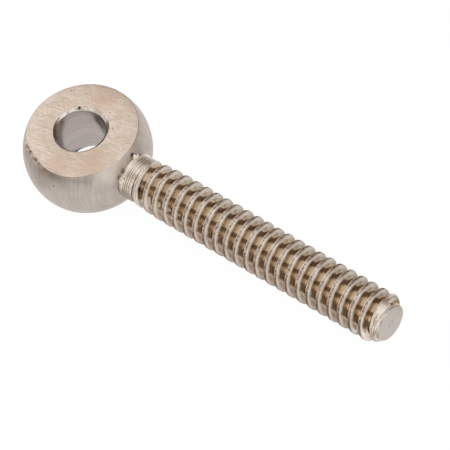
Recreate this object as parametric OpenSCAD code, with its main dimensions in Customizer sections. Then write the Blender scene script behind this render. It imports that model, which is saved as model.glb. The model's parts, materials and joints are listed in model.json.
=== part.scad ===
// One-piece rod end: a ball with two flats and a cross bore, turned on the end of a
// rod with a coarse trapezoidal thread.
// +Z is the bore's axis and +X runs along the rod to its tip. The origin is on the
// bore's axis, halfway between the flats.

/* [Eye] */
// Diameter of the ball
ball_d = 15.9; // [12:0.1:24]
// Distance across the two flats
eye_thick = 7.6; // [7:0.1:10]
// Diameter of the bore
bore_d = 6.1; // [3:0.1:7.5]
// How far the ball's centre lies from the bore's axis, towards the rod
ball_shift = 0.25; // [0:0.05:0.6]
// Depth of the countersink at each end of the bore
sink_depth = 0.5; // [0.1:0.05:1]
// How much the countersink widens the bore's radius
sink_widen = 0.45; // [0.1:0.05:1]

/* [Rod] */
// Distance from the bore's axis to the tip
rod_length = 47.45; // [30:0.1:90]
// Diameter of the turned neck
neck_d = 5.8; // [5.2:0.1:6.2]
// Length of the neck between the ball and the thread
neck_length = 1.7; // [1.2:0.1:6]
// Diameter of the bead where the neck meets the ball
bead_d = 6.4; // [5.6:0.1:6.6]
// Width of that bead
bead_width = 0.55; // [0.3:0.05:1.2]
// Spacing of the tool marks turned into the neck
ring_spacing = 0.3; // [0.2:0.05:0.6]
// Depth of those tool marks
ring_depth = 0.04; // [0.01:0.01:0.1]

/* [Thread] */
// Diameter over the crests
major_d = 6.4; // [6:0.1:8]
// Diameter at the roots
minor_d = 4.6; // [4:0.1:5]
// Distance from one crest to the next
pitch = 1.5875; // [1.3:0.0125:2.5]
// Width of a crest
crest_width = 0.5; // [0.3:0.05:0.6]
// How far a flank leans over between root and crest
flank_run = 0.23; // [0.05:0.01:0.3]
// Rounding of the crest's edges
crest_edge = 0.07; // [0.02:0.01:0.12]
// Turns the thread round the rod, in degrees
thread_turn = 330; // [0:5:355]
// Length over which the groove runs out towards the neck
runout_length = 0.8; // [0.3:0.1:2]
// Length over which the crests grow to full height
grow_length = 5.5; // [2:0.5:12]

/* [Tip] */
// Diameter of the flat end face
tip_d = 4.5; // [3:0.1:5.5]
// Length along the rod of the bevel round that face
bevel_length = 1.3; // [0.3:0.1:2.5]

/* [Hidden] */
$fn = 96;
ball_r = ball_d / 2;
bore_r = bore_d / 2;
neck_r = neck_d / 2;
major_r = major_d / 2;
minor_r = minor_d / 2;
tip_r = tip_d / 2;
spill = 1;

// Where the ball's surface meets the neck, and where the thread begins
neck_start = ball_shift + sqrt(ball_r * ball_r - neck_r * neck_r);
thread_start = neck_start + neck_length;
rings = floor((neck_length - bead_width) / ring_spacing);
ring_start = thread_start - rings * ring_spacing;

// The thread's surface lies just under the neck's, which hides where it begins
segments = 36;
step = 0.04;
core_r = neck_r - ring_depth - step;

// Corners of one rib's section: distance from its middle, and share of its height
edge_share = crest_edge / (major_r - minor_r);
corners = [
    [-crest_width / 2 - flank_run, 0],
    [-crest_width / 2, 1 - edge_share],
    [-crest_width / 2 + crest_edge, 1],
    [crest_width / 2 - crest_edge, 1],
    [crest_width / 2, 1 - edge_share],
    [crest_width / 2 + flank_run, 0]
];
per_turn = len(corners);

// Whole turns from the one that starts inside the neck to the one that ends past the tip
turned = thread_turn / 360;
first_turn = floor(-1 - turned);
last_turn = ceil((rod_length + crest_width - thread_start) / pitch - turned);
rows = (last_turn - first_turn + 1) * per_turn;

// Radius at the root and at the crest, a distance x from the bore's axis
function share_of(x, length) = max(0, min(1, (x - thread_start) / length));
function root_r(x) =
    let (t = share_of(x, runout_length))
    core_r + (minor_r - core_r) * t * t * (3 - 2 * t);
function crest_r(x) =
    let (t = share_of(x, grow_length))
    core_r + (major_r - core_r) * t * (2 - t);

// Row i follows the helix of one corner, and column j goes round the rod
function row_x(i, j) =
    thread_start + (first_turn + floor(i / per_turn) + turned + j / segments) * pitch
    + corners[i % per_turn][0];
function row_point(i, j) =
    let (
        x = row_x(i, j),
        r = root_r(x) + (crest_r(x) - root_r(x)) * corners[i % per_turn][1],
        a = 360 * j / segments
    )
    [r * cos(a), r * sin(a), x];

// Points are numbered row by row, and a row's end meets the row one turn on
function point_id(i, j) = j < segments ? i * segments + j : (i + per_turn) * segments;

// The eye is a ball cut by two parallel flats
module eye() {
    color("#cdbfb0")
    intersection() {
        translate([ball_shift, 0, 0]) sphere(r = ball_r);
        cube([3 * ball_d, 3 * ball_d, eye_thick], center = true);
    }
}

// The cross bore, with a countersink at each face
module bore() {
    cylinder(r = bore_r, h = eye_thick + 2 * spill, center = true);
    for (side = [0, 1])
        mirror([0, 0, side])
        translate([0, 0, eye_thick / 2 - sink_depth])
        cylinder(r1 = bore_r, r2 = bore_r + 2 * sink_widen, h = 2 * sink_depth);
}

// The turned neck: a bead against the ball, then fine rings left by the tool
module neck() {
    outline = concat(
        [[0, 0], [neck_r - ring_depth, 0], [neck_r - ring_depth, neck_start - spill]],
        [for (t = [0 : 15 : 180])
            [neck_r - ring_depth + (bead_d / 2 - neck_r + ring_depth) * sin(t),
             neck_start + bead_width / 2 - cos(t) * bead_width / 2]],
        [for (k = [0 : rings - 1], side = [0, 1])
            [neck_r - ring_depth * side, ring_start + (k + 0.5 + side / 2) * ring_spacing]],
        [[0, thread_start]]
    );
    color("#d2cac0")
    rotate([0, 90, 0])
    rotate_extrude()
    polygon(outline);
}

// The threaded rod, one closed surface whose rows follow the helix
module thread() {
    surface = [for (i = [0 : rows - 1], j = [0 : segments - 1]) row_point(i, j)];
    foot = len(surface);
    head = foot + 1;
    middles = [[0, 0, row_x(0, segments / 2)], [0, 0, row_x(rows - 1, segments / 2)]];
    sides = [for (i = [0 : rows - 2], j = [0 : segments - 1], half = [0, 1])
        if (j < segments - 1 || i + per_turn + 1 < rows)
            half == 0
            ? [point_id(i, j), point_id(i + 1, j), point_id(i, j + 1)]
            : [point_id(i + 1, j), point_id(i + 1, j + 1), point_id(i, j + 1)]];
    foot_ring = [for (j = [0 : segments - 1]) [foot, point_id(0, j), point_id(0, j + 1)]];
    foot_step = [for (i = [0 : per_turn - 1]) [foot, point_id(i + 1, 0), point_id(i, 0)]];
    head_ring = [for (j = [0 : segments - 2])
        [head, point_id(rows - 1, j + 1), point_id(rows - 1, j)]];
    head_step = [for (i = [rows - 1 - per_turn : rows - 2])
        [head, point_id(i, segments - 1), point_id(i + 1, segments - 1)]];
    head_seam = [[head, point_id(rows - 1, 0), point_id(rows - 1 - per_turn, segments - 1)]];
    polyhedron(
        concat(surface, middles),
        concat(sides, foot_ring, foot_step, head_ring, head_step, head_seam)
    );
}

// Everything past the end face and the bevel round it
module beyond_tip() {
    reach = major_r + spill;
    slope = bevel_length / (major_r - tip_r);
    rotate_extrude()
    polygon([
        [0, rod_length],
        [tip_r, rod_length],
        [reach, rod_length - (reach - tip_r) * slope],
        [reach, rod_length + 4 * pitch],
        [0, rod_length + 4 * pitch]
    ]);
}

module rod() {
    color("#b7aca0")
    rotate([0, 90, 0])
    difference() {
        thread();
        beyond_tip();
    }
}

module rod_end() {
    difference() {
        union() {
            eye();
            neck();
            rod();
        }
        bore();
    }
}

rod_end();
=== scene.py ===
"""Looks of a one-piece rod end in turned steel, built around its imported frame."""

import json
import logging
import math
from dataclasses import dataclass
from enum import Enum
from typing import Any

import bmesh
import bpy
from mathutils import Matrix, Vector, noise

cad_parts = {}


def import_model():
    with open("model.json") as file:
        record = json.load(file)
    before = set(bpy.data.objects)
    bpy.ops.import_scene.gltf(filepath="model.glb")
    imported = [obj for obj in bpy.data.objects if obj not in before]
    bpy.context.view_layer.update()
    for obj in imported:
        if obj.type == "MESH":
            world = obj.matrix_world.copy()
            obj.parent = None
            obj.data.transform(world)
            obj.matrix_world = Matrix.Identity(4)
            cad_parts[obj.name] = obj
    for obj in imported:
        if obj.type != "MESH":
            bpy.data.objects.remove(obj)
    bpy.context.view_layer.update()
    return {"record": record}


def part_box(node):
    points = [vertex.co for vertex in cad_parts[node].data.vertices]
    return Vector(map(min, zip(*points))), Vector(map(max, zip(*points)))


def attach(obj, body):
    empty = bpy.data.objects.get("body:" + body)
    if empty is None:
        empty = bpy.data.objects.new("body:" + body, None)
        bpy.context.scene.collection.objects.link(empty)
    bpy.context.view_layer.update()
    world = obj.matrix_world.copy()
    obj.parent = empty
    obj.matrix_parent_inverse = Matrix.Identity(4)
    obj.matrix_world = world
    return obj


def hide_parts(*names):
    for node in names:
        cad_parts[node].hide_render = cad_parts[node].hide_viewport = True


Tree = bpy.types.NodeTree
Node = bpy.types.Node
Material = bpy.types.Material
Piece = bpy.types.Object
Shape = bmesh.types.BMesh
Triple = tuple[float, float, float]
Pair = tuple[float, float]

LOG = logging.getLogger("rod_end")

MM = 0.001
NODE = "rod_end"
BODY = "root"

MERGE_GAP = 0.002 * MM
ROD_AXIS = Vector((1, 0, 0))
BORE_AXIS = Vector((0, 0, 1))


class EyeZone(Enum):
    """Material slots of the eye, by how each surface was made."""

    GROUND = 0
    TURNED = 1
    BORED = 2
    CUT = 3
    TORN = 4


class RodZone(Enum):
    """Material slots of the threaded rod. The neck's rings run on over its first rib."""

    THREAD = 0
    BEVEL = 1
    FACE = 2
    RINGS = 3


def linear(hex_colour: str) -> tuple[float, float, float, float]:
    """Turns an sRGB hex colour into the linear values that shaders take.

    Args:
        hex_colour: Six hex digits, such as "D8C4B2".

    Returns:
        Red, green, blue and an alpha of 1.
    """
    parts = [int(hex_colour[i:i + 2], 16) / 255 for i in (0, 2, 4)]
    red, green, blue = (p / 12.92 if p <= 0.04045 else ((p + 0.055) / 1.055) ** 2.4 for p in parts)
    return red, green, blue, 1.0


def clamped(share: float) -> float:
    """Keeps a share between 0 and 1."""
    return max(0.0, min(1.0, share))


def eased(share: float) -> float:
    """Makes a share between 0 and 1 start and end gently."""
    return share * share * (3 - 2 * share)


def bump(angle: float, dents: tuple[Triple, ...]) -> float:
    """Adds up how far dents reach at one angle.

    Args:
        angle: The angle.
        dents: The dents, each as its middle, its width and how far it reaches there.

    Returns:
        The distance that all the dents reach.
    """
    return sum(dent * math.exp(-(((angle - middle) / width) ** 2)) for middle, width, dent in dents)


def add_node(tree: Tree, kind: str, **given: Any) -> Node:
    """Adds a shader node, sets it up and links what feeds it.

    Args:
        tree: The node tree that gets the node.
        kind: The node's type without the "ShaderNode" in front.
        **given: First the node's own settings, such as its operation. Then what each input
            gets, by the input's name with _ for spaces, or by its number after "at". A
            node gives its first output, a socket gives itself, and the rest are values.

    Returns:
        The new node.
    """
    node = tree.nodes.new(f"ShaderNode{kind}")
    for name, value in given.items():
        if hasattr(node, name):
            setattr(node, name, value)
            continue
        if name.startswith("at"):
            socket = node.inputs[int(name[2:])]
        else:
            label = name.replace("_", " ")
            socket = next(s for s in node.inputs if s.enabled and s.name == label)
        if isinstance(value, Node):
            value = next(s for s in value.outputs if s.enabled)
        if isinstance(value, bpy.types.NodeSocket):
            tree.links.new(value, socket)
        else:
            socket.default_value = value
    return node


def start_material(name: str) -> tuple[Material, Tree]:
    """Makes an empty node material.

    Args:
        name: The material's name.

    Returns:
        The material and its node tree.
    """
    material = bpy.data.materials.new(name)
    material.use_nodes = True
    material.node_tree.nodes.clear()
    return material, material.node_tree


def finish_metal(tree: Tree, **inputs: Any) -> None:
    """Ends a metal's node tree in a metallic shader with these inputs."""
    shader = add_node(tree, "BsdfPrincipled", Metallic=1.0, **inputs)
    add_node(tree, "OutputMaterial", Surface=shader)


def tool_marks(tree: Tree, per_mm: Triple, detail: float, turn: float = 0.0) -> Node:
    """Gives marks between 0 and 1 with a real size, stretched the way the tool ran.

    Args:
        tree: The material's node tree.
        per_mm: How many marks fit in a millimetre, along each axis.
        detail: How many finer layers are added.
        turn: Turn of the marks about the bore's axis, in degrees.

    Returns:
        The node that gives the marks.
    """
    place = add_node(tree, "TexCoord").outputs["Object"]
    turned = add_node(tree, "Mapping", Vector=place, Rotation=(0.0, 0.0, math.radians(turn)))
    stretched = add_node(tree, "Mapping", Vector=turned, Scale=tuple(marks / MM for marks in per_mm))
    return add_node(tree, "TexNoise", Vector=stretched, Scale=1.0, Detail=detail)


@dataclass(frozen=True)
class StainOrPaintedLight:
    """A place of another colour, whole in its core and gone at its reach: a real stain, or painted
    light or shade.
    """

    place_mm: Triple
    core_mm: float
    reach_mm: float
    colour: str
    share: float = 1.0


def add_stains_and_painted_light(tree: Tree, base: Node, stains_and_painted_light: tuple[StainOrPaintedLight, ...]) -> Node:
    """Lays stains and patches of painted light and shade over a colour.

    Args:
        tree: The material's node tree.
        base: The node that gives the colour below.
        stains_and_painted_light: The stains and painted patches, the lowest first.

    Returns:
        The node that gives the stained and painted colour.
    """
    for patch in stains_and_painted_light:
        place = add_node(tree, "TexCoord").outputs["Object"]
        middle = tuple(part * MM for part in patch.place_mm)
        away = add_node(tree, "VectorMath", operation="DISTANCE", at0=place, at1=middle)
        cover = add_node(
            tree,
            "MapRange",
            interpolation_type="SMOOTHSTEP",
            Value=away.outputs["Value"],
            From_Min=patch.core_mm * MM,
            From_Max=patch.reach_mm * MM,
            To_Min=patch.share,
            To_Max=0.0,
        )
        base = add_node(tree, "Mix", data_type="RGBA", Factor=cover, A=base, B=linear(patch.colour))
    return base


@dataclass(frozen=True)
class Finish:
    """A steel surface in two tones, which follow the marks that its tool left."""

    name: str
    light: str
    dark: str
    roughness: float
    # How many marks fit in a millimetre along each axis, how many finer layers they have and
    # how high they stand, then the marks' values that turn wholly dark and wholly light
    marks_per_mm: Triple
    marks_detail: float
    depth_mm: float
    span: Pair
    stains_and_painted_light: tuple[StainOrPaintedLight, ...] = ()

    def marks(self, tree: Tree) -> Node:
        """Gives the tool's marks, between 0 and 1."""
        return tool_marks(tree, self.marks_per_mm, self.marks_detail)

    def colour(self, tree: Tree, marks: Node) -> Node:
        """Gives the two tones.

        Args:
            tree: The material's node tree.
            marks: The node that gives the tool's marks.

        Returns:
            The node that gives the colour.
        """
        low, high = self.span
        contrast = add_node(tree, "MapRange", Value=marks, From_Min=low, From_Max=high)
        tones = {"A": linear(self.dark), "B": linear(self.light)}
        return add_node(tree, "Mix", data_type="RGBA", Factor=contrast, **tones)

    def material(self) -> Material:
        """Builds the finish.

        Returns:
            The new material.
        """
        material, tree = start_material(self.name)
        marks = self.marks(tree)
        base = add_stains_and_painted_light(tree, self.colour(tree, marks), self.stains_and_painted_light)
        normal = add_node(tree, "Bump", Distance=self.depth_mm * MM, Height=marks)
        finish_metal(tree, Base_Color=base, Roughness=self.roughness, Normal=normal)
        return material


@dataclass(frozen=True)
class GroundSteel(Finish):
    """Plated steel ground flat on a belt.

    The plating gives it a warm beige, and the belt a silky shine with fine scratches that
    cross each other. The real scratches are about 0.02 mm wide, and are drawn seven times
    as coarse to show.
    """

    name: str = "ground_steel"
    light: str = "EADACB"
    dark: str = "CCB8A6"
    roughness: float = 0.3
    marks_per_mm: Triple = (6.5 / 8, 6.5, 6.5)
    marks_detail: float = 3.0
    depth_mm: float = 0.004
    span: Pair = (0.4, 0.6)
    # Rosy patches, then two pits
    stains_and_painted_light: tuple[StainOrPaintedLight, ...] = (
        StainOrPaintedLight((4.4, -2.2, 3.8), 0.0, 2.8, "CDAF9A", 0.6),
        StainOrPaintedLight((-0.5, 4.9, 3.8), 0.0, 2.8, "CDAF9A", 0.6),
        StainOrPaintedLight((1.2, -5.6, 3.8), 0.0, 2.8, "CDAF9A", 0.6),
        StainOrPaintedLight((4.6, -4.2, 3.8), 0.0, 2.8, "CDAF9A", 0.6),
        StainOrPaintedLight((1.5, 3.9, 3.8), 0.05, 0.1, "8A7361"),
        StainOrPaintedLight((3.3, 2.2, 3.8), 0.05, 0.1, "8A7361"),
    )
    # Which way each pass over the belt ran, in degrees about the bore's axis
    passes: Triple = (38.0, -52.0, -12.0)

    def marks(self, tree: Tree) -> Node:
        """Gives the scratches of all the passes.

        Args:
            tree: The material's node tree.

        Returns:
            The node that gives the scratches.
        """
        marks, *others = (
            tool_marks(tree, self.marks_per_mm, self.marks_detail, turn) for turn in self.passes
        )
        for other in others:
            marks = add_node(tree, "Mix", data_type="FLOAT", Factor=0.5, A=marks, B=other)
        return marks


@dataclass(frozen=True)
class TurnedSteel(Finish):
    """Plated steel turned about the rod's axis.

    The lathe leaves it cool and satin, with soft streaks that run round the rod's axis and
    dull clouds. The real feed marks are about 0.1 mm apart, and are drawn twice as coarse
    to show.
    """

    name: str = "turned_steel"
    light: str = "C7BEB6"
    dark: str = "B6AAA0"
    roughness: float = 0.4
    marks_per_mm: Triple = (4.5, 4.5 / 18, 4.5 / 18)
    marks_detail: float = 4.0
    depth_mm: float = 0.0006
    span: Pair = (0.28, 0.7)
    # A painted highlight by the neck, a pit, a painted shadow in the gap beside the neck's
    # upper lump, and a band of painted shade under the flat's rim
    stains_and_painted_light: tuple[StainOrPaintedLight, ...] = (
        StainOrPaintedLight((6.9, -2.6, 3.4), 0.5, 2.8, "EBDFD2", 0.45),
        StainOrPaintedLight((1.65, -7.56, 2.03), 0.07, 0.14, "5E5048"),
        StainOrPaintedLight((7.52, 0.75, 3.14), 0.1, 0.42, "4F3F32"),
        StainOrPaintedLight((1.37, -7.07, 3.5), 0.0, 1.05, "7F756D", 0.42),
        StainOrPaintedLight((2.4, -6.83, 3.45), 0.0, 1.05, "7F756D", 0.42),
        StainOrPaintedLight((3.41, -6.48, 3.35), 0.0, 1.05, "7F756D", 0.42),
        StainOrPaintedLight((4.36, -5.98, 3.25), 0.0, 1.05, "7F756D", 0.42),
        StainOrPaintedLight((5.24, -5.35, 3.1), 0.0, 1.05, "7F756D", 0.42),
    )
    cloud: str = "B0A49B"
    clouds_per_mm: Triple = (0.3, 0.3, 0.3)
    cloud_detail: float = 2.0
    cloud_span: Pair = (0.5, 0.75)

    def colour(self, tree: Tree, marks: Node) -> Node:
        """Gives the two tones with clouds over them.

        Args:
            tree: The material's node tree.
            marks: The node that gives the streaks.

        Returns:
            The node that gives the colour.
        """
        clouds = tool_marks(tree, self.clouds_per_mm, self.cloud_detail)
        low, high = self.cloud_span
        cover = add_node(tree, "MapRange", Value=clouds, From_Min=low, From_Max=high)
        base = super().colour(tree, marks)
        return add_node(tree, "Mix", data_type="RGBA", Factor=cover, A=base, B=linear(self.cloud))


@dataclass(frozen=True)
class BoredSteel(Finish):
    """The drilled wall of the bore.

    It is greyer than the outside, with faint rings left by the drill's feed.
    """

    name: str = "bored_steel"
    light: str = "C3B7B2"
    dark: str = "BAAFA9"
    roughness: float = 0.24
    marks_per_mm: Triple = (0.1, 0.1, 1.6)
    marks_detail: float = 3.0
    depth_mm: float = 0.0015
    span: Pair = (0.35, 0.65)


@dataclass(frozen=True)
class CutSteel(Finish):
    """Plated steel cut with a fresh edge, in the countersinks.

    It is the brightest and creamiest of the surfaces, a little uneven.
    """

    name: str = "cut_steel"
    light: str = "FFF9F2"
    dark: str = "E6DBCE"
    roughness: float = 0.45
    marks_per_mm: Triple = (3.0, 3.0, 3.0)
    marks_detail: float = 3.0
    depth_mm: float = 0.009
    span: Pair = (0.4, 0.62)
    # Painted shade in the nick and on both sides of the countersink, and a painted shadow in the lower
    # edge
    stains_and_painted_light: tuple[StainOrPaintedLight, ...] = (
        StainOrPaintedLight((-2.38, 2.47, 3.56), 0.12, 0.36, "6E5A46"),
        StainOrPaintedLight((-3.1, -2.2, 3.6), 0.8, 2.5, "9A8570"),
        StainOrPaintedLight((3.0, 2.1, 3.6), 0.6, 1.9, "9A8570"),
        StainOrPaintedLight((3.1, -1.0, 3.6), 1.0, 2.4, "3A2B20"),
    )


@dataclass(frozen=True)
class TornSteel(Finish):
    """The ragged lip that grinding left on one side of the flat: dull, with darker specks."""

    name: str = "torn_steel"
    light: str = "D6C8BA"
    dark: str = "968474"
    roughness: float = 0.4
    marks_per_mm: Triple = (2.4, 2.4, 2.4)
    marks_detail: float = 2.0
    depth_mm: float = 0.006
    span: Pair = (0.4, 0.6)


@dataclass(frozen=True)
class ChamferedSteel(Finish):
    """The bevel turned round the tip.

    It is light and creamy, with tool lines that run round the rod.
    """

    name: str = "chamfered_steel"
    light: str = "F4ECE2"
    dark: str = "B09E8B"
    roughness: float = 0.48
    marks_per_mm: Triple = (5.0, 5.0 / 6, 5.0 / 6)
    marks_detail: float = 3.0
    depth_mm: float = 0.006
    span: Pair = (0.36, 0.58)


@dataclass(frozen=True)
class FacedSteel(Finish):
    """The end of the bar, faced off on the lathe.

    It is light grey and dull, with a faint ring left round the middle.
    """

    name: str = "faced_steel"
    light: str = "CAC2BB"
    dark: str = "BDB5AD"
    roughness: float = 0.42
    marks_per_mm: Triple = (4.0, 4.0, 4.0)
    marks_detail: float = 2.0
    depth_mm: float = 0.004
    span: Pair = (0.0, 1.0)
    ring: str = "968B82"
    ring_r_mm: float = 0.42
    ring_width_mm: float = 0.16

    def colour(self, tree: Tree, marks: Node) -> Node:
        """Gives the two tones with the ring over them.

        Args:
            tree: The material's node tree.
            marks: The node that gives the marks.

        Returns:
            The node that gives the colour.
        """
        place = add_node(tree, "TexCoord").outputs["Object"]
        flat = add_node(tree, "Mapping", Vector=place, Scale=(0.0, 1 / MM, 1 / MM))
        away = add_node(tree, "VectorMath", operation="LENGTH", at0=flat).outputs["Value"]
        limits = {"at1": self.ring_r_mm, "at2": self.ring_width_mm / 2}
        ring = add_node(tree, "Math", operation="COMPARE", at0=away, **limits)
        faint = add_node(tree, "Math", operation="MULTIPLY", at0=ring, at1=marks)
        base = super().colour(tree, marks)
        return add_node(tree, "Mix", data_type="RGBA", Factor=faint, A=base, B=linear(self.ring))


@dataclass(frozen=True)
class RingedSteel(Finish):
    """Plated steel with the fine rings that the parting tool turned into the neck.

    The tops of the rings are bright and creamy, with painted shade in the dips between
    them and on the side below. Its marks roughen the rings' edges.
    """

    name: str = "ringed_steel"
    light: str = "FBF4EB"
    dark: str = "C0B0A0"
    roughness: float = 0.45
    marks_per_mm: Triple = (0.75, 3.0, 3.0)
    marks_detail: float = 2.0
    depth_mm: float = 0.003
    # The dip below the rings' tops that is wholly dark with painted shade, and the one that is wholly
    # light
    span: Pair = (1.0, 0.3)
    # Painted shade on the side below, then a painted shadow in the gap between the lumps
    stains_and_painted_light: tuple[StainOrPaintedLight, ...] = (
        StainOrPaintedLight((8.7, -2.9, -0.6), 1.0, 2.3, "AC9D90"),
        StainOrPaintedLight((7.8, -1.35, 2.66), 0.05, 0.3, "4A382A"),
        StainOrPaintedLight((7.8, -1.6, 2.5), 0.05, 0.3, "4A382A"),
    )
    # How much the marks move the rings' edges, as a share of the rings' depth
    unevenness: float = 0.8

    def colour(self, tree: Tree, marks: Node) -> Node:
        """Gives the two tones by how deep between the rings a place lies, as painted shade in the dips.

        Args:
            tree: The material's node tree.
            marks: The node that gives the marks.

        Returns:
            The node that gives the colour.
        """
        dip = add_node(tree, "Attribute", attribute_name="ring_dip").outputs["Fac"]
        moves = {"at1": self.unevenness, "at2": -self.unevenness / 2}
        uneven = add_node(tree, "Math", operation="MULTIPLY_ADD", at0=marks, **moves)
        return super().colour(tree, add_node(tree, "Math", operation="ADD", at0=dip, at1=uneven))


@dataclass(frozen=True)
class RolledSteel:
    """The rolled thread.

    Its grooves are polished by the dies. Their root is painted tan and their flanks lighter up
    the rib, a painted reflection of root and flanks mirroring each other several times. The
    crests are lighter, dull and scuffed, with a seam where the metal closed between the dies.
    """

    name: str = "rolled_steel"
    # Painted reflection and shade: the root tan and the flanks lighter up the rib
    root: str = "C3A888"
    low_flank: str = "DFD4C6"
    high_flank_painted_light: str = "F0EBE6"
    crest: str = "E6DACD"
    crest_edge_highlight: str = "F6EFE6"
    scuff: str = "8C7866"
    seam: str = "5E4A3A"
    # The plating shines less where it is seen nearly edge-on
    edge_tint: str = "93877C"
    # Painted shade: the shallow first groove is dark on the side below
    stains_and_painted_light: tuple[StainOrPaintedLight, ...] = (StainOrPaintedLight((10.55, -2.25, 1.0), 0.7, 1.3, "7C6248"),)
    roughness: float = 0.17
    crest_roughness: float = 0.5
    # Fine marks along the groove spread the shine across it, a quarter turn from the way
    # they run, and keep it sharp along it
    anisotropy: float = 0.6
    shine_turn: float = 0.25
    # Where the root's painted tan ends, where the flank's painted light begins and where the
    # crest begins, as shares of the rib's height
    height_spans: tuple[Pair, Pair, Pair] = ((0.02, 0.12), (0.45, 0.68), (0.68, 0.84))
    # The scuffs are thin lines along the crest, crossed by short marks. They are drawn
    # twice as coarse as real to show
    lines_per_mm: float = 8.0
    crossings_per_mm: float = 5.0
    mark_length: float = 5.0
    marks_detail: float = 2.0
    scuff_span: Pair = (0.48, 0.57)
    scuff_depth_mm: float = 0.006
    seam_span: Pair = (0.1, 0.34)
    # Past the first distance from its middle the crest has a painted highlight, not scuffs
    edge_mm: Pair = (0.13, 0.2)

    def material(self) -> Material:
        """Builds the rolled finish, which changes with the height on the rib.

        Returns:
            The new material.
        """
        material, tree = start_material(self.name)
        height = add_node(tree, "Attribute", attribute_name="rib_height").outputs["Fac"]
        seam = add_node(tree, "Attribute", attribute_name="rib_seam").outputs["Fac"]
        place = add_node(tree, "Attribute", attribute_name="rib_place").outputs["Vector"]
        off_root, painted_light_up_flank, on_crest = (
            add_node(tree, "MapRange", Value=height, From_Min=low, From_Max=high)
            for low, high in self.height_spans
        )
        marks = self._marks(tree, place)
        parts = add_node(tree, "SeparateXYZ", Vector=place)
        off_middle = add_node(tree, "Math", operation="ABSOLUTE", at0=parts)
        whole, gone = (edge * MM for edge in self.edge_mm)
        inside = add_node(tree, "MapRange", Value=off_middle, From_Min=gone, From_Max=whole)
        low, high = self.scuff_span
        rubbed = add_node(tree, "MapRange", Value=marks, From_Min=low, From_Max=high)
        scuffs = add_node(tree, "Math", operation="MULTIPLY", at0=rubbed, at1=inside)
        dotted = add_node(tree, "Math", operation="MULTIPLY", at0=seam, at1=marks)
        low, high = self.seam_span
        dark_seam = add_node(tree, "MapRange", Value=dotted, From_Min=low, From_Max=high)
        # Painted reflection and shade: tan at the root, lighter up the flank
        flank = {"A": linear(self.root), "B": linear(self.low_flank)}
        base = add_node(tree, "Mix", data_type="RGBA", Factor=off_root, **flank)
        base = add_stains_and_painted_light(tree, base, self.stains_and_painted_light)
        # Painted highlight on the crest's rounded edges
        tones = {"A": linear(self.crest_edge_highlight), "B": linear(self.crest)}
        top = add_node(tree, "Mix", data_type="RGBA", Factor=inside, **tones)
        for cover, colour in (
            (painted_light_up_flank, linear(self.high_flank_painted_light)),
            (on_crest, top),
            (scuffs, linear(self.scuff)),
            (dark_seam, linear(self.seam)),
        ):
            base = add_node(tree, "Mix", data_type="RGBA", Factor=cover, A=base, B=colour)
        rough = {"To_Min": self.roughness, "To_Max": self.crest_roughness}
        deep = self.scuff_depth_mm * MM
        finish_metal(
            tree,
            Base_Color=base,
            Roughness=add_node(tree, "MapRange", Value=on_crest, **rough),
            Specular_Tint=linear(self.edge_tint),
            Anisotropic=self.anisotropy,
            Anisotropic_Rotation=self.shine_turn,
            Tangent=add_node(tree, "Tangent", direction_type="RADIAL", axis="X"),
            Normal=add_node(tree, "Bump", invert=True, Distance=deep, Height=scuffs),
        )
        return material

    def _marks(self, tree: Tree, place: bpy.types.NodeSocket) -> Node:
        """Gives the lines along the crest and the marks across it, mixed.

        Args:
            tree: The material's node tree.
            place: Where on the rib a place lies, across and along it.

        Returns:
            The node that gives the marks.
        """
        fine = self.lines_per_mm / MM
        coarse = self.crossings_per_mm / MM
        lines, crossings = (
            add_node(
                tree,
                "TexNoise",
                Vector=add_node(tree, "Mapping", Vector=place, Scale=scale),
                Scale=1.0,
                Detail=self.marks_detail,
            )
            for scale in (
                (fine, fine / self.mark_length, 0.0),
                (coarse / self.mark_length, coarse, 0.0),
            )
        )
        return add_node(tree, "Mix", data_type="FLOAT", Factor=0.5, A=lines, B=crossings)


def spin(
    bm: Shape,
    row: list[bmesh.types.BMVert],
    axis: Vector,
    steps: int,
    angle: float = math.tau,
    closed: bool = False,
    climb: float = 0.0,
) -> None:
    """Turns a row of points round an axis into a surface.

    Args:
        bm: The bmesh that gets the surface.
        row: The points, in a plane through the axis.
        axis: The axis, through the origin.
        steps: How many faces go round.
        angle: How far the row turns.
        closed: Whether the row's last point joins its first.
        climb: How far the row moves along the axis at each step.
    """
    pairs = list(zip(row, row[1:]))
    if closed:
        pairs.append((row[-1], row[0]))
    bmesh.ops.spin(
        bm,
        geom=row + [bm.edges.new(pair) for pair in pairs],
        cent=(0, 0, 0),
        axis=axis,
        dvec=axis * climb,
        angle=angle,
        steps=steps,
        use_merge=angle == math.tau and not climb,
    )


def face_outwards(bm: Shape) -> None:
    """Merges doubled points and turns every face outwards."""
    bmesh.ops.remove_doubles(bm, verts=bm.verts, dist=MERGE_GAP)
    bmesh.ops.recalc_face_normals(bm, faces=bm.faces)


def make_object(name: str, bm: Shape, materials: list[Material]) -> Piece:
    """Turns a finished bmesh into an object of the scene.

    Args:
        name: The object's name.
        bm: The bmesh, in metres and in place. It is freed.
        materials: The material slots, in order.

    Returns:
        The new object.
    """
    mesh = bpy.data.meshes.new(name)
    bm.to_mesh(mesh)
    bm.free()
    for material in materials:
        mesh.materials.append(material)
    piece = bpy.data.objects.new(name, mesh)
    bpy.context.scene.collection.objects.link(piece)
    return piece


def make_piece(name: str, bm: Shape, materials: list[Material], smooth_angle: float) -> Piece:
    """Turns a finished bmesh into a smooth piece that rides on the body.

    Args:
        name: The piece's name.
        bm: The bmesh, in metres and in place. It is freed.
        materials: The piece's material slots, in order.
        smooth_angle: Edges that turn further than this look sharp.

    Returns:
        The new piece.
    """
    for face in bm.faces:
        face.smooth = True
    piece = make_object(name, bm, materials)
    piece.data.set_sharp_from_angle(angle=smooth_angle)
    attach(piece, BODY)
    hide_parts(NODE)
    return piece


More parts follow.
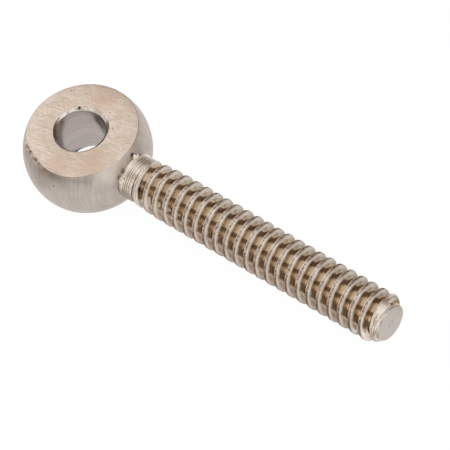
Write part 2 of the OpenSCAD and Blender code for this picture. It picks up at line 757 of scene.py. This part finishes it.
@dataclass
class Eye:
    """The ball with its two ground flats and its cross bore."""

    ball_r: float
    half_thick: float
    ball_shift: float
    bore_r: float
    sink_depth: float = 0.5 * MM
    sink_widen: float = 0.45 * MM
    # The hidden lower countersink is smaller, because only a thin strip of floor shows past it
    low_sink_depth: float = 0.15 * MM
    low_sink_widen: float = 0.06 * MM
    rows: int = 64
    steps: int = 384
    edge_round: float = 0.05 * MM
    smooth_angle: float = math.radians(24)
    # How upright a face's normal is on the flats
    flat_from: float = 0.99
    # The torn lip: where it lies round the flat, how high it is, how far it stands out, how
    # coarse its coarse and fine waves are, what share the fine ones have, how far it stands
    # out on average and how much the waves move it, as shares
    lip_from: float = math.radians(218)
    lip_to: float = math.radians(274)
    lip_height: float = 0.36 * MM
    lip_rows: int = 4
    lip_out: float = 0.09 * MM
    lip_waves: Pair = (0.5 * MM, 0.2 * MM)
    lip_fine_share: float = 0.35
    lip_mean: float = 0.25
    lip_swing: float = 1.3
    # How far in from the rim it reaches, and from which share of it a face looks torn
    lip_inside: float = 0.1 * MM
    torn_from: float = 0.05
    # The upper countersink's edge has a nick and two narrower stretches: where each lies, how
    # wide it is, and how far the edge stands out there
    mouth_dents: tuple[Triple, ...] = (
        (math.radians(134), math.radians(2.5), 0.14 * MM),
        (math.radians(160), math.radians(16), -0.17 * MM),
        (math.radians(-138), math.radians(34), -0.12 * MM),
    )
    mouth_reach: float = 0.15 * MM
    # Grinding left the upper rim out of round: where each stretch lies, how wide it is, and
    # how far the rim stands out there. This fades away down the ball's side
    rim_dents: tuple[Triple, ...] = (
        (math.radians(250), math.radians(15), -0.47 * MM),
        (math.radians(300), math.radians(18), 0.18 * MM),
    )
    rim_fade: float = 1.4 * MM
    rim_reach: float = 0.2 * MM
    # The upper countersink is shallower on one side: where that is, how much higher its foot
    # lies there, and how far out
    shallow_at: float = math.radians(195)
    shallow_rise: float = 0.24 * MM
    shallow_spread: float = 0.14 * MM

    @property
    def rim_r(self) -> float:
        """Radius of the flats."""
        return math.sqrt(self.ball_r**2 - self.half_thick**2)

    @property
    def mouth_r(self) -> float:
        """Radius of the upper countersink at the flat."""
        return self.bore_r + self.sink_widen

    def build(self, materials: dict[EyeZone, Material]) -> Piece:
        """Makes the eye.

        Args:
            materials: The finish of each zone.

        Returns:
            The finished piece.
        """
        bm = bmesh.new()
        row = [bm.verts.new(point) for point in self._section()]
        spin(bm, row, BORE_AXIS, self.steps, closed=True)
        ball = [v for v in bm.verts if math.hypot(v.co.x, v.co.y) > self.mouth_r + self.edge_round]
        bmesh.ops.translate(bm, verts=ball, vec=(self.ball_shift, 0, 0))
        face_outwards(bm)
        self._round_edges(bm)
        self._tear_lip(bm)
        self._mark_zones(bm)
        self._dent_mouth(bm)
        self._dent_rim(bm)
        return make_piece("eye", bm, [materials[zone] for zone in EyeZone], self.smooth_angle)

    def _section(self) -> list[Vector]:
        """Works out the eye's section on one side of the bore's axis.

        Returns:
            Points round the section, in the XZ plane: the ball's side with close rows
            where the lip is torn, then the countersinks and the bore's wall.
        """
        top = self.half_thick
        reach = math.asin(top / self.ball_r)
        levels = [self.ball_r * math.sin(reach * (1 - 2 * k / self.rows)) for k in range(self.rows + 1)]
        side = [top - self.lip_height * k / self.lip_rows for k in range(self.lip_rows + 1)]
        side += [level for level in levels if level < side[-1] - self.edge_round]
        outer = [(math.sqrt(self.ball_r**2 - level**2), level) for level in side]
        inner = [
            (self.bore_r + self.low_sink_widen, -top),
            (self.bore_r, self.low_sink_depth - top),
            (self.bore_r, top - self.sink_depth),
            (self.mouth_r, top),
        ]
        return [Vector((across, 0, level)) for across, level in outer + inner]

    def _round_edges(self, bm: Shape) -> None:
        """Takes the sharpness off the rims and the countersinks' mouths.

        Args:
            bm: The eye's bmesh.
        """
        sharp = [
            edge
            for edge in bm.edges
            if all(abs(abs(v.co.z) - self.half_thick) < MERGE_GAP for v in edge.verts)
            and edge.calc_face_angle(0) > self.smooth_angle
        ]
        bmesh.ops.bevel(
            bm,
            geom=sharp,
            offset=self.edge_round,
            offset_type="OFFSET",
            affect="EDGES",
            segments=3,
            profile=0.5,
            material=-1,
            clamp_overlap=True,
        )

    def _lip_share(self, point: Vector) -> float:
        """Tells how much of the torn lip a point carries.

        Args:
            point: A point on the eye.

        Returns:
            0 away from the lip and up to 1 in it.
        """
        across = point.x - self.ball_shift
        along = (math.atan2(point.y, across) % math.tau - self.lip_from) / (self.lip_to - self.lip_from)
        below = (self.half_thick - point.z) / self.lip_height
        inside = math.hypot(across, point.y) < self.rim_r - self.lip_inside
        if not 0 < along < 1 or below > 1 or inside:
            return 0.0
        return math.sqrt(math.sin(math.pi * along) * (1 - below))

    def _tear_lip(self, bm: Shape) -> None:
        """Pushes the rim's lower left stretch in and out, as a torn burr lies.

        Args:
            bm: The eye's bmesh.
        """
        coarse, fine = self.lip_waves
        for vert in bm.verts:
            share = self._lip_share(vert.co)
            if not share:
                continue
            out = Vector((vert.co.x - self.ball_shift, vert.co.y, 0)).normalized()
            waves = noise.noise(vert.co / coarse) + self.lip_fine_share * noise.noise(vert.co / fine)
            vert.co += out * (share * self.lip_out * (self.lip_mean + self.lip_swing * waves))
            if vert.co.z < self.half_thick - self.edge_round:
                vert.co.z += share * self.lip_out * waves

    def _mark_zones(self, bm: Shape) -> None:
        """Gives each face the finish of the tool that made it.

        Args:
            bm: The eye's bmesh.
        """
        for face in bm.faces:
            middle = face.calc_center_median()
            from_bore = math.hypot(middle.x, middle.y)
            from_ball = math.hypot(middle.x - self.ball_shift, middle.y)
            level = abs(face.normal.z)
            if from_bore < self.bore_r + MERGE_GAP:
                zone = EyeZone.BORED
            elif from_bore < self.mouth_r + self.edge_round and level < self.flat_from:
                zone = EyeZone.CUT
            elif from_ball < self.rim_r and level > self.flat_from:
                zone = EyeZone.GROUND
            elif self._lip_share(middle) > self.torn_from:
                zone = EyeZone.TORN
            else:
                zone = EyeZone.TURNED
            face.material_index = zone.value

    def _dent_mouth(self, bm: Shape) -> None:
        """Moves the upper countersink's edge in and out, and its foot out and up on one side.

        Args:
            bm: The eye's bmesh.
        """
        foot = self.half_thick - self.sink_depth
        for vert in bm.verts:
            angle = math.atan2(vert.co.y, vert.co.x)
            out = Vector((vert.co.x, vert.co.y, 0)).normalized()
            past = math.hypot(vert.co.x, vert.co.y) - self.mouth_r
            if past < 0 and abs(vert.co.z - foot) < MERGE_GAP:
                share = ((1 + math.cos(angle - self.shallow_at)) / 2) ** 2
                vert.co += share * (out * self.shallow_spread + BORE_AXIS * self.shallow_rise)
            elif abs(past) < self.mouth_reach and vert.co.z > foot + self.sink_depth / 2:
                vert.co += out * bump(angle, self.mouth_dents)

    def _dent_rim(self, bm: Shape) -> None:
        """Moves the upper rim in and out, and the ball's side below it less and less.

        Args:
            bm: The eye's bmesh.
        """
        for vert in bm.verts:
            out = Vector((vert.co.x - self.ball_shift, vert.co.y, 0))
            below = max(0.0, (self.half_thick - vert.co.z) / self.rim_fade)
            if below < 1 and out.length > self.rim_r - self.rim_reach:
                angle = math.atan2(out.y, out.x) % math.tau
                vert.co += out.normalized() * (bump(angle, self.rim_dents) * (1 - below) ** 2)


@dataclass
class Neck:
    """The turned neck between the ball and the thread: an undercut, a bead and fine rings."""

    start: float
    length: float = 1.7 * MM
    radius: float = 2.9 * MM
    inside: float = 1.0 * MM
    undercut: float = 0.15 * MM
    undercut_width: float = 0.18 * MM
    bead_r: float = 2.98 * MM
    bead_width: float = 0.5 * MM
    bead_points: int = 12
    ring_spacing: float = 0.31 * MM
    ring_depth: float = 0.045 * MM
    ring_points: int = 10
    foot_r: float = 2.76 * MM
    steps: int = 256
    smooth_angle: float = math.radians(38)
    # Two lumps of torn metal stand on the bead: distance from the ball, and turn about the
    # rod in degrees
    lumps: tuple[Pair, ...] = ((0.2 * MM, -18.0), (0.5 * MM, 50.0))
    lump_radii: Triple = (0.38 * MM, 0.48 * MM, 0.34 * MM)
    lump_at_r: float = 3.02 * MM
    lump_steps: int = 32
    lump_rough: float = 0.04 * MM
    lump_waves: float = 0.8 * MM
    # The waves on the lumps start from this seed, so that each run gives the same lumps
    lump_seed: int = 18

    @property
    def ring_start(self) -> float:
        """Where the bead ends and the rings begin."""
        return self.start + self.undercut_width + self.bead_width

    def ring_dip(self, along: float) -> float:
        """Works out how far the tool's rings dip below the neck's radius."""
        wave = math.cos(math.tau * (along - self.ring_start) / self.ring_spacing)
        return self.ring_depth * (1 + wave) / 2

    def build(self, material: Material) -> Piece:
        """Makes the neck.

        Args:
            material: The ringed finish.

        Returns:
            The finished piece.
        """
        bm = bmesh.new()
        row = [bm.verts.new(point) for point in self._outline()]
        spin(bm, row, ROD_AXIS, self.steps)
        bmesh.ops.holes_fill(bm, edges=bm.edges, sides=0)
        face_outwards(bm)
        self._add_lumps(bm)
        dip = bm.verts.layers.float.new("ring_dip")
        for vert in bm.verts:
            if vert.co.x > self.ring_start:
                vert[dip] = self.ring_dip(vert.co.x) / self.ring_depth
        return make_piece("neck", bm, [material], self.smooth_angle)

    def _outline(self) -> list[Vector]:
        """Works out the neck's outline from inside the ball to under the thread.

        Returns:
            Points in the XZ plane, above the rod's axis.
        """
        low = self.radius - self.undercut
        bead_start = self.start + self.undercut_width
        points = [(self.start - self.inside, low), (bead_start - self.undercut, low)]
        for k in range(self.bead_points + 1):
            turn = math.pi * k / self.bead_points
            lift = (self.bead_r - self.radius + self.ring_depth) * math.sin(turn)
            along = bead_start + self.bead_width * (1 - math.cos(turn)) / 2
            points.append((along, self.radius - self.ring_depth + lift))
        step = self.ring_spacing / self.ring_points
        end = self.start + self.length
        for k in range(1, int((end - self.ring_start) / step) + 1):
            along = self.ring_start + k * step
            points.append((along, self.radius - self.ring_dip(along)))
        points.append((end + self.ring_spacing, self.foot_r))
        return [Vector((along, 0, radius)) for along, radius in points]

    def _add_lumps(self, bm: Shape) -> None:
        """Adds the lumps of torn metal that lie against the ball.

        Args:
            bm: The neck's bmesh.
        """
        noise.seed_set(self.lump_seed)
        for along, turn in self.lumps:
            turned = Matrix.Rotation(math.radians(turn), 4, ROD_AXIS)
            moved = Matrix.Translation((self.start + along, 0, self.lump_at_r))
            lump = bmesh.ops.create_uvsphere(
                bm,
                u_segments=self.lump_steps,
                v_segments=self.lump_steps // 2,
                radius=1.0,
                matrix=turned @ moved @ Matrix.Diagonal((*self.lump_radii, 1.0)),
            )
            for vert in lump["verts"]:
                vert.co += noise.noise_vector(vert.co / self.lump_waves) * self.lump_rough


@dataclass
class ThreadedRod:
    """The rod with its one-start right-hand trapezoidal thread and bevelled tip."""

    neck: Neck
    tip: float
    pitch: float = 1.5875 * MM
    major_r: float = 3.2 * MM
    minor_r: float = 2.3 * MM
    core_r: float = 2.82 * MM
    crest_width: float = 0.5 * MM
    flank_run: float = 0.23 * MM
    foot_round: float = 0.1 * MM
    crest_round: float = 0.07 * MM
    crest_edge_dip: float = 0.012 * MM
    turned: float = 330 / 360
    runout_length: float = 0.8 * MM
    grow_length: float = 5.5 * MM
    tip_r: float = 2.25 * MM
    bevel_length: float = 1.3 * MM
    bevel_gap: float = 0.01 * MM
    steps: int = 96
    smooth_angle: float = math.radians(38)
    # The seam where the rolled metal closed on the crest, nearer to the eye's side: where it
    # lies, its width, its depth, and how its depth changes from crest to crest, as shares
    seam_at: float = -0.03 * MM
    seam_width: float = 0.13 * MM
    seam_depth: float = 0.05 * MM
    seam_mean: float = 0.45
    seam_swing: float = 0.55
    # How far alternate crests lean towards each other at the tip
    sway: float = 0.05 * MM
    # How far along the thread the neck's rings run on, how far they lift the crest, and from
    # which share of the rib's height they show
    ring_reach: float = 1.7 * MM
    ring_lift: float = 0.08 * MM
    ring_from: float = 0.9
    # How deep the last groove is left, and between which shares of the bevel's length before
    # the tip it grows shallow
    last_depth: float = 0.1 * MM
    last_from: float = 0.8
    last_to: float = 0.3

    @property
    def start(self) -> float:
        """Where the thread begins."""
        return self.neck.start + self.neck.length

    def build(self, materials: dict[RodZone, Material]) -> Piece:
        """Makes the threaded rod.

        Args:
            materials: The finish of each zone.

        Returns:
            The finished piece.
        """
        bm = bmesh.new()
        self._wind(bm)
        self._shape(bm)
        self._cut_ends(bm)
        face_outwards(bm)
        height = bm.verts.layers.float["rib_height"]
        for face in bm.faces:
            lowest = min(vert[height] for vert in face.verts)
            face.material_index = self._zone_at(face.calc_center_median(), lowest).value
        dressed = [materials[zone] for zone in RodZone]
        return make_piece("threaded_rod", bm, dressed, self.smooth_angle)

    def _limit(self, along: float) -> float:
        """Works out the largest radius that the tip's bevel leaves at a distance along the rod."""
        slope = (self.major_r - self.tip_r) / self.bevel_length
        return self.tip_r + max(0.0, self.tip - along) * slope

    def _passed(self, along: float, length: float) -> float:
        """Tells what share of a stretch from the thread's start has been passed."""
        return clamped((along - self.start) / length)

    def _zone_at(self, point: Vector, lowest: float) -> RodZone:
        """Tells which finish a face gets.

        Args:
            point: The face's middle.
            lowest: The share of the rib's height at its lowest corner.

        Returns:
            The zone.
        """
        if self._passed(point.x, self.ring_reach) < 1 and lowest > self.ring_from:
            return RodZone.RINGS
        if point.x > self.tip - MERGE_GAP:
            return RodZone.FACE
        gap = self._limit(point.x) - math.hypot(point.y, point.z)
        shallow = self.last_depth if point.x > self.tip - self.bevel_length / 2 else 0.0
        return RodZone.BEVEL if gap < shallow + self.bevel_gap else RodZone.THREAD

    def _stations(self) -> list[Pair]:
        """Works out one rib's section, from the middle of one groove to the next.

        Returns:
            Points as distance from the rib's middle and share of its height.
        """
        half = self.crest_width / 2
        foot = half + self.flank_run
        depth = self.major_r - self.minor_r
        # The root, the rounded foot, the flank and the rounded edge of the crest
        side = [
            (self.pitch / 2, 0.0),
            (foot + 2 * self.foot_round, 0.0),
            (foot + 0.3 * self.foot_round, 0.015),
            (foot - 0.5 * self.foot_round, 0.11),
            (half + self.flank_run / 2, 0.46),
            (half + 0.4 * self.crest_round, 0.87),
            (half - 0.2 * self.crest_round, 0.96),
            (half - self.crest_round, 1.0 - self.crest_edge_dip / depth),
            (half - 1.8 * self.crest_round, 1.0),
        ]
        # The seam, as shares of its width and of its depth
        seam = [
            (self.seam_at + self.seam_width * across, 1.0 - self.seam_depth / depth * dip)
            for across, dip in ((-0.5, 0.1), (-0.2, 0.8), (0.0, 1.0), (0.2, 0.8), (0.5, 0.1))
        ]
        return [(-across, share) for across, share in side] + seam + side[::-1]

    def _wind(self, bm: Shape) -> None:
        """Screws the ribs' sections once round the rod, so that each turn meets the next.

        Args:
            bm: The rod's bmesh.
        """
        share = bm.verts.layers.float.new("rib_height")
        across = bm.verts.layers.float.new("rib_across")
        first = math.floor(-1 - self.turned)
        last = math.ceil((self.tip + self.crest_width - self.start) / self.pitch - self.turned)
        stations = self._stations()
        row = []
        for turn in range(first, last + 1):
            middle = self.start + (turn + self.turned) * self.pitch
            for offset, height in stations if turn == first else stations[1:]:
                vert = bm.verts.new((middle + offset, 0, -self.minor_r))
                vert[share] = height
                vert[across] = offset
                row.append(vert)
        spin(bm, row, ROD_AXIS, self.steps, climb=self.pitch / self.steps)
        bmesh.ops.remove_doubles(bm, verts=bm.verts, dist=MERGE_GAP)

    def _shape(self, bm: Shape) -> None:
        """Raises the ribs, lets the groove run out at the neck and bevels the tip.

        Args:
            bm: The rod's bmesh.
        """
        share = bm.verts.layers.float["rib_height"]
        across = bm.verts.layers.float["rib_across"]
        seam = bm.verts.layers.float.new("rib_seam")
        place = bm.verts.layers.float_vector.new("rib_place")
        ringed = bm.verts.layers.float.new("ring_dip")
        for vert in bm.verts:
            offset = vert[across]
            turns = (vert.co.x - offset - self.start) / self.pitch
            vert[place] = Vector((offset, turns * math.tau * self.major_r, 0))
            alternate = math.cos(math.pi * turns) * self._passed(vert.co.x, self.tip - self.start)
            if abs(offset - self.seam_at) < self.seam_width:
                dip = (1 - vert[share]) * (self.seam_mean + self.seam_swing * alternate)
                vert[seam] = dip * (self.major_r - self.minor_r) / self.seam_depth
                vert[share] = 1 - dip
            vert.co.x += self.sway * alternate * vert[share]
            along = vert.co.x
            radius = min(self._radius(along, vert[share]), self._limit(along))
            grow = radius / math.hypot(vert.co.y, vert.co.z)
            vert.co.y *= grow
            vert.co.z *= grow
            vert[ringed] = self.neck.ring_dip(along) / self.neck.ring_depth

    def _radius(self, along: float, height: float) -> float:
        """Works out the thread's radius.

        Args:
            along: Distance along the rod.
            height: Share of the rib's height.

        Returns:
            The radius there.
        """
        out = eased(self._passed(along, self.runout_length))
        root = self.core_r + (self.minor_r - self.core_r) * out
        shares = (along - self.tip) / self.bevel_length
        ended = eased(clamped((shares + self.last_from) / (self.last_from - self.last_to)))
        root += max(0.0, self._limit(along) - self.last_depth - root) * ended
        grown = self._passed(along, self.grow_length)
        crest = self.core_r + (self.major_r - self.core_r) * grown * (2 - grown)
        ringed = clamped(2 - 2 * self._passed(along, self.ring_reach))
        crest += (self.ring_lift - self.neck.ring_dip(along)) * ringed
        return root + (max(crest, root) - root) * height

    def _cut_ends(self, bm: Shape) -> None:
        """Cuts the winding's ends off square and closes them.

        Args:
            bm: The rod's bmesh.
        """
        for side, place in ((1, self.tip), (-1, self.start - self.flank_run)):
            bmesh.ops.bisect_plane(
                bm,
                geom=bm.verts[:] + bm.edges[:] + bm.faces[:],
                dist=MERGE_GAP,
                plane_co=(place, 0, 0),
                plane_no=(side, 0, 0),
                clear_outer=True,
            )
            rim = [
                edge
                for edge in bm.edges
                if edge.is_boundary and all(abs(v.co.x - place) < MERGE_GAP for v in edge.verts)
            ]
            bmesh.ops.holes_fill(bm, edges=rim, sides=0)


@dataclass(frozen=True)
class View:
    """The photograph's camera: a long lens well above the part, tilted to one side."""

    aim: Vector
    distance: float = 477.8 * MM
    azimuth: float = math.radians(51.84)
    elevation: float = math.radians(53.06)
    roll: float = math.radians(-15.5)
    lens_mm: float = 320.0
    sensor_mm: float = 36.0
    nearest: float = 10 * MM

    def place(self) -> None:
        """Makes the scene's camera."""
        lens = bpy.data.cameras.new("camera")
        lens.lens = self.lens_mm
        lens.sensor_width = self.sensor_mm
        lens.clip_start = self.nearest
        camera = bpy.data.objects.new("camera", lens)
        level = math.cos(self.elevation)
        across, towards = math.sin(self.azimuth) * level, -math.cos(self.azimuth) * level
        back = Vector((across, towards, math.sin(self.elevation)))
        upright = back.to_track_quat("Z", "Y").to_matrix().to_4x4()
        moved = Matrix.Translation(self.aim + back * self.distance)
        camera.matrix_world = moved @ upright @ Matrix.Rotation(self.roll, 4, "Z")
        bpy.context.scene.collection.objects.link(camera)
        bpy.context.scene.camera = camera


def paper(name: str, colour: str, strength: float = 1.0) -> Material:
    """Makes the material of a card or a mat, clear where its cover is 0.

    Args:
        name: The name of what it is for.
        colour: What the steel sees there.
        strength: How bright it is.

    Returns:
        The material.
    """
    material, tree = start_material(f"{name}_paper")
    share = add_node(tree, "Attribute", attribute_name="cover").outputs["Fac"]
    clear = add_node(tree, "BsdfTransparent")
    glow = add_node(tree, "Emission", Color=linear(colour), Strength=strength)
    mix = add_node(tree, "MixShader", at0=share, at1=clear, at2=glow)
    add_node(tree, "OutputMaterial", Surface=mix)
    return material


def set_for_reflections(name: str, bm: Shape, materials: list[Material]) -> None:
    """Sets up a part of the stage that only the steel's reflections show.

    Args:
        name: The part's name.
        bm: The bmesh, in metres and in place. It is freed.
        materials: Its material slots, in order.
    """
    piece = make_object(name, bm, materials)
    piece.visible_camera = False
    piece.visible_diffuse = False
    piece.visible_transmission = False
    piece.visible_shadow = False


@dataclass(frozen=True)
class Card:
    """A card that only the steel's reflections show, bent round the rod's axis.

    Its turns are degrees about the rod's axis, from straight up towards the camera's side,
    and its leans are degrees along the rod, towards the tip.
    """

    name: str
    turns: Pair
    leans: Pair
    colour: str
    radius: float
    strength: float = 1.0
    middle_x: float = 22 * MM
    # How wide the card's fading border is, in degrees
    soft_turn: float = 3.0
    soft_lean: float = 4.0

    def place(self) -> None:
        """Makes the card."""
        bm = bmesh.new()
        cover = bm.verts.layers.float.new("cover")
        low, high = self.leans
        leans = (low, low + self.soft_lean, high - self.soft_lean, high)
        row = []
        for lean, share in zip(leans, (0.0, 1.0, 1.0, 0.0)):
            along = self.middle_x + self.radius * math.tan(math.radians(lean))
            row.append(bm.verts.new((along, 0, self.radius)))
            row[-1][cover] = share
        first, last = self.turns
        start = Matrix.Rotation(math.radians(first), 3, ROD_AXIS)
        bmesh.ops.rotate(bm, verts=row, cent=(0, 0, 0), matrix=start)
        steps = max(2, round((last - first) / self.soft_turn))
        spin(bm, row, ROD_AXIS, steps, angle=math.radians(last - first))
        for vert in bm.verts:
            turn = math.degrees(math.atan2(-vert.co.y, vert.co.z))
            if min(turn - first, last - turn) < self.soft_turn / 2:
                vert[cover] = 0.0
        set_for_reflections(self.name, bm, [paper(self.name, self.colour, self.strength)])


@dataclass(frozen=True)
class Mat:
    """A mat on the floor, ribbed across the rod, that only the steel's reflections show.

    Each rib slopes down towards the tip and drops off square towards the eye. The drops
    can have a colour of their own, which is all that the ball's side sees of the mat.
    """

    name: str
    from_corner: Pair
    to_corner: Pair
    colour: str
    drop_colour: str
    rib_height: float = 0.9 * MM
    rib_width: float = 1.5 * MM
    border: float = 1.0 * MM
    lift: float = 0.02 * MM

    def place(self, floor_z: float) -> None:
        """Lays the mat.

        Args:
            floor_z: The floor's height.
        """
        bm = bmesh.new()
        cover = bm.verts.layers.float.new("cover")
        first, front = self.from_corner
        last, back = self.to_corner
        ribs = max(1, round((last - first) / self.rib_width))
        row = []
        for k in range(ribs):
            for share, rise in ((0, self.rib_height), (1, 0.0)):
                along = first + (last - first) * (k + share) / ribs
                row.append(bm.verts.new((along, front, floor_z + self.lift + rise)))
        edges = [bm.edges.new(pair) for pair in zip(row, row[1:])]
        for depth in (self.border, back - front - 2 * self.border, self.border):
            grown = bmesh.ops.extrude_edge_only(bm, edges=edges)["geom"]
            moved = [part for part in grown if isinstance(part, bmesh.types.BMVert)]
            edges = [part for part in grown if isinstance(part, bmesh.types.BMEdge)]
            bmesh.ops.translate(bm, verts=moved, vec=(0, depth, 0))
        for vert in bm.verts:
            vert[cover] = float(front + MERGE_GAP < vert.co.y < back - MERGE_GAP)
        for face in bm.faces:
            face.material_index = int(abs(face.normal.x) > abs(face.normal.z))
        drop = paper(f"{self.name}_drop", self.drop_colour)
        set_for_reflections(self.name, bm, [paper(self.name, self.colour), drop])


@dataclass(frozen=True)
class ShadowCrescent:
    """A dark crescent on the floor in the bore, a painted shadow under the eye's far side, which only
    the bore's wall mirrors.
    """

    name: str = "bore_shadow_crescent"
    colour: str = "1A120D"
    inner_r: float = 2.2 * MM
    full_r: float = 2.75 * MM
    outer_r: float = 3.1 * MM
    # How much narrower it is halfway along than at its ends, and how soon it narrows
    narrowing: float = 0.9
    narrowing_power: float = 0.4
    turn_from: float = math.radians(52)
    turn_to: float = math.radians(198)
    steps: int = 24
    lift: float = 0.02 * MM

    def place(self, floor_z: float) -> None:
        """Lays the crescent.

        Args:
            floor_z: The floor's height.
        """
        bm = bmesh.new()
        cover = bm.verts.layers.float.new("cover")
        turned = Matrix.Rotation(self.turn_from, 3, BORE_AXIS)
        row = []
        for radius, share in ((self.inner_r, 0.0), (self.full_r, 1.0), (self.outer_r, 1.0)):
            row.append(bm.verts.new(turned @ Vector((radius, 0, floor_z + self.lift))))
            row[-1][cover] = share
        length = self.turn_to - self.turn_from
        spin(bm, row, BORE_AXIS, self.steps, angle=length)
        for vert in bm.verts:
            radius = math.hypot(vert.co.x, vert.co.y)
            turn = math.atan2(vert.co.y, vert.co.x) % math.tau
            halfway = max(0.0, math.sin(math.pi * (turn - self.turn_from) / length))
            left = 1 - self.narrowing * halfway**self.narrowing_power
            grow = (self.outer_r - (self.outer_r - radius) * left) / radius
            vert.co.x *= grow
            vert.co.y *= grow
        set_for_reflections(self.name, bm, [paper(self.name, self.colour)])


@dataclass
class Studio:
    """A white floor and an even white surround, with cards and mats that the steel mirrors."""

    floor_z: float
    middle: Vector
    floor_size: float = 1600 * MM
    # How much of the floor's brightness is plain white, and not lit and shaded, and how
    # bright that white is
    glow_to_camera: float = 0.95
    glow_in_steel: float = 0.7
    glow_strength: float = 1.01
    cards: tuple[Card, ...] = (
        Card("back_card", (-94, -38), (-48, 44), "7E6958", 350 * MM),
        Card("top_card", (-41, -25), (-14, 44), "7E6958", 370 * MM),
        Card("gap_card", (20, 48), (-48, 44), "806C5B", 330 * MM),
        Card("front_card", (40, 76), (-48, 44), "C4B5A4", 370 * MM),
        Card("low_card", (70, 94), (-48, 44), "7E6958", 350 * MM),
        Card("camera_card", (12, 38), (20, 36), "8A7868", 310 * MM),
        Card("tip_card", (-65, 115), (46, 64), "FFFFFF", 350 * MM, 1.15),
        Card("sink_card", (50, 80), (-22, 24), "FFFFFF", 290 * MM, 1.3),
    )
    mats: tuple[Mat, ...] = (
        # The front and under mats are dark sheets on the floor by and under the rod: a painted shadow
        # that only the steel mirrors
        Mat("front_shadow_mat", (0.012, -0.09), (0.07, -0.0043), "7E6A59", "FFFFFF"),
        Mat("under_shadow_mat", (0.012, -0.0043), (0.046, 0.0006), "BDB0A6", "BDB0A6", 0.1 * MM),
        Mat("rear_mat", (0.012, 0.003), (0.07, 0.05), "E2DEDA", "E2DEDA"),
        Mat("left_mat", (-0.03, -0.028), (-0.004, -0.009), "E2DFDC", "E2DFDC"),
        Mat("far_mat", (-0.15, -0.25), (0.012, -0.03), "9A8A7A", "9A8A7A"),
    )
    shadow_crescent: ShadowCrescent = ShadowCrescent()

    def build(self) -> None:
        """Makes the surround, the floor, the cards, the mats and the crescent."""
        self._surround()
        self._floor()
        for card in self.cards:
            card.place()
        for laid in (*self.mats, self.shadow_crescent):
            laid.place(self.floor_z)

    def _surround(self) -> None:
        """Lights the scene from an even white world."""
        world = bpy.data.worlds.new("surround")
        bpy.context.scene.world = world
        world.use_nodes = True
        world.node_tree.nodes.clear()
        sky = add_node(world.node_tree, "Background", Color=(1, 1, 1, 1), Strength=1.0)
        add_node(world.node_tree, "OutputWorld", Surface=sky)

    def _floor(self) -> None:
        """Lays a white floor under the part, which keeps a trace of its shadow."""
        bm = bmesh.new()
        bmesh.ops.create_grid(
            bm,
            x_segments=1,
            y_segments=1,
            size=self.floor_size / 2,
            matrix=Matrix.Translation((self.middle.x, self.middle.y, self.floor_z)),
        )
        material, tree = start_material("floor_paper")
        path = add_node(tree, "LightPath").outputs
        seen = {"at0": path["Is Camera Ray"], "at1": path["Is Transmission Ray"]}
        direct = add_node(tree, "Math", operation="MAXIMUM", **seen)
        plain = add_node(tree, "Math", operation="MULTIPLY", at0=direct, at1=self.glow_to_camera)
        mirrored = {"at0": path["Is Glossy Ray"], "at1": self.glow_in_steel}
        share = add_node(tree, "Math", operation="MULTIPLY_ADD", **mirrored, at2=plain)
        lit = add_node(tree, "BsdfDiffuse", Color=linear("FFFFFF"))
        glow = add_node(tree, "Emission", Color=linear("FFFFFF"), Strength=self.glow_strength)
        mix = add_node(tree, "MixShader", at0=share, at1=lit, at2=glow)
        add_node(tree, "OutputMaterial", Surface=mix)
        make_object("floor", bm, [material])


def main() -> None:
    """Builds the rod end's looks and its studio around the frame."""
    logging.basicConfig(level=logging.INFO, format="%(message)s")
    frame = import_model()
    low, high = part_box(NODE)
    bore = next(m for m in frame["record"]["mounts"] if m["name"] == "eye_bore")
    bore_r = bore["dims"]["r_mm"] * MM
    eye = Eye(ball_r=high.y, half_thick=high.z, ball_shift=low.x + high.y, bore_r=bore_r)
    neck = Neck(start=eye.ball_shift + math.sqrt(eye.ball_r**2 - Neck.radius**2))
    rod = ThreadedRod(neck=neck, tip=high.x)
    ringed = RingedSteel().material()
    eye_finishes = {
        EyeZone.GROUND: GroundSteel().material(),
        EyeZone.TURNED: TurnedSteel().material(),
        EyeZone.BORED: BoredSteel().material(),
        EyeZone.CUT: CutSteel().material(),
        EyeZone.TORN: TornSteel().material(),
    }
    rod_finishes = {
        RodZone.THREAD: RolledSteel().material(),
        RodZone.BEVEL: ChamferedSteel().material(),
        RodZone.FACE: FacedSteel().material(),
        RodZone.RINGS: ringed,
    }
    for piece in (eye.build(eye_finishes), neck.build(ringed), rod.build(rod_finishes)):
        LOG.info("%s: %d faces", piece.name, len(piece.data.polygons))
    View(aim=Vector((21.9, 0.3, 0.0)) * MM).place()
    Studio(floor_z=low.z, middle=Vector(((low.x + high.x) / 2, 0, 0))).build()
    bpy.context.scene.view_settings.view_transform = "Standard"


if __name__ == "__main__":
    main()
